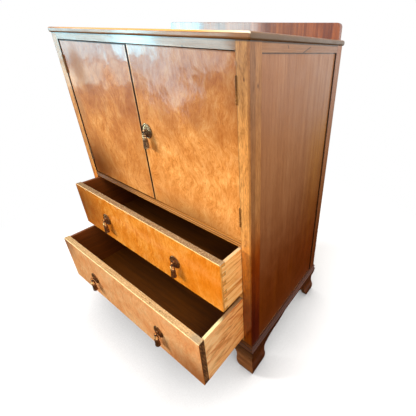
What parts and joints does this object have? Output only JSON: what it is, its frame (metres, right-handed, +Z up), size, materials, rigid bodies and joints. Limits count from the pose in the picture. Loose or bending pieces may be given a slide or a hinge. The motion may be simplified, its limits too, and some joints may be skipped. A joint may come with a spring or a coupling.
{
  "type": "chest of drawers with cupboard",
  "caption": "Free-standing bedroom tallboy: a cupboard with hinged doors over long sliding drawers, drop handles, moulded plinth and bracket feet.",
  "frame": {"origin": "on the floor, under the middle of the carcase between its side, front and back faces", "axes": "+X to the right seen from the front, +Y to the back, +Z up"},
  "size_m": [0.9354, 0.7536, 1.275],
  "materials": {
    "veneer_front": "glossy varnish over figured veneer",
    "frame_wood": "satin varnish, straight grain",
    "side_wood": "satin varnish, straight vertical grain",
    "plinth_wood": "dark satin varnish",
    "top_wood": "satin varnish",
    "gallery_wood": "satin varnish, striped walnut",
    "drawer_wood": "raw planed softwood",
    "inner_wood": "raw sawn softwood",
    "ply": "raw plywood",
    "antique_brass": "aged, rubbed bright on the high spots",
    "brass": "plain, a little tarnished",
    "steel": "dull"
  },
  "bodies": {
    "root": {"back_gallery": "gallery_wood", "back_panel": "ply", "back_rails": "inner_wood", "bearers": "inner_wood", "bottom_rail": "frame_wood", "carcase_screws": "steel", "catch_strike_plate": "brass", "closing_stops": "inner_wood", "cupboard_floor": "inner_wood", "cupboard_shelf": "inner_wood", "door_rail": "frame_wood", "drawer_guides": "inner_wood", "drawer_rail": "frame_wood", "drawer_runners": "inner_wood", "foot_front_left": "plinth_wood", "foot_front_right": "plinth_wood", "foot_rear_left": "plinth_wood", "foot_rear_right": "plinth_wood", "frieze_rail": "frame_wood", "glue_blocks": "inner_wood", "hinge_fixed_leaves": "brass", "plinth_mould_front": "plinth_wood", "plinth_mould_left": "plinth_wood", "plinth_mould_right": "plinth_wood", "post_front_left": "frame_wood", "post_front_right": "frame_wood", "post_rear_left": "frame_wood", "post_rear_right": "frame_wood", "side_panel_left": "side_wood", "side_panel_right": "side_wood", "side_rails_left": "frame_wood", "side_rails_right": "frame_wood", "top_board": "top_wood"},
    "left_door": {"door_left": "veneer_front", "hinge_leaves_pins_left": "brass", "hinge_screws_left": "steel", "bolt_case": "brass"},
    "bolt": {"bolt": "brass"},
    "right_door": {"door_right": "veneer_front", "hinge_leaves_pins_right": "brass", "hinge_screws_right": "steel", "catch_case": "brass", "catch_spring": "steel", "door_handle_mount": "antique_brass"},
    "catch_ball": {"catch_ball": "steel"},
    "door_drop": {"door_handle_drop": "antique_brass"},
    "upper_drawer": {"upper_drawer_front": "veneer_front", "upper_drawer_sides": "drawer_wood", "upper_drawer_back": "drawer_wood", "upper_drawer_bottom": "ply", "upper_handle_mounts": "antique_brass"},
    "upper_drop_left": {"upper_drop_left": "antique_brass"},
    "upper_drop_right": {"upper_drop_right": "antique_brass"},
    "lower_drawer": {"lower_drawer_front": "veneer_front", "lower_drawer_sides": "drawer_wood", "lower_drawer_back": "drawer_wood", "lower_drawer_bottom": "ply", "lower_handle_mounts": "antique_brass"},
    "lower_drop_left": {"lower_drop_left": "antique_brass"},
    "lower_drop_right": {"lower_drop_right": "antique_brass"}
  },
  "joints": [
    {"name": "left_door_hinge", "type": "hinge", "parent": "root", "child": "left_door", "pos_m": [-0.41725, -0.2641, 0.9255], "axis": [0, 0, 1], "range_deg": [-105, 0]},
    {"name": "right_door_hinge", "type": "hinge", "parent": "root", "child": "right_door", "pos_m": [0.41725, -0.2641, 0.9255], "axis": [0, 0, 1], "range_deg": [0, 105]},
    {"name": "bolt_slide", "type": "slide", "parent": "left_door", "child": "bolt", "axis": [0, 0, 1], "range_m": [0, 0.009]},
    {"name": "catch_ball_press", "type": "slide", "parent": "right_door", "child": "catch_ball", "axis": [0, 0, 1], "range_m": [-0.0015, 0], "stiffness_N_per_m": 400, "deforming": ["catch_spring"]},
    {"name": "upper_drawer_slide", "type": "slide", "parent": "root", "child": "upper_drawer", "axis": [0, -1, 0], "range_m": [-0.0922, 0.3078]},
    {"name": "lower_drawer_slide", "type": "slide", "parent": "root", "child": "lower_drawer", "axis": [0, -1, 0], "range_m": [-0.1976, 0.2024]},
    {"name": "door_drop_swing", "type": "hinge", "parent": "right_door", "child": "door_drop", "pos_m": [0.03, -0.2736, 0.934], "axis": [-1, 0, 0], "range_deg": [-3, 88]},
    {"name": "upper_drop_left_swing", "type": "hinge", "parent": "upper_drawer", "child": "upper_drop_left", "pos_m": [-0.213, -0.3682, 0.539], "axis": [-1, 0, 0], "range_deg": [-3, 88]},
    {"name": "upper_drop_right_swing", "type": "hinge", "parent": "upper_drawer", "child": "upper_drop_right", "pos_m": [0.205, -0.3682, 0.539], "axis": [-1, 0, 0], "range_deg": [-3, 88]},
    {"name": "lower_drop_left_swing", "type": "hinge", "parent": "lower_drawer", "child": "lower_drop_left", "pos_m": [-0.213, -0.4736, 0.3025], "axis": [-1, 0, 0], "range_deg": [-3, 88]},
    {"name": "lower_drop_right_swing", "type": "hinge", "parent": "lower_drawer", "child": "lower_drop_right", "pos_m": [0.205, -0.4736, 0.3025], "axis": [-1, 0, 0], "range_deg": [-3, 88]}
  ]
}
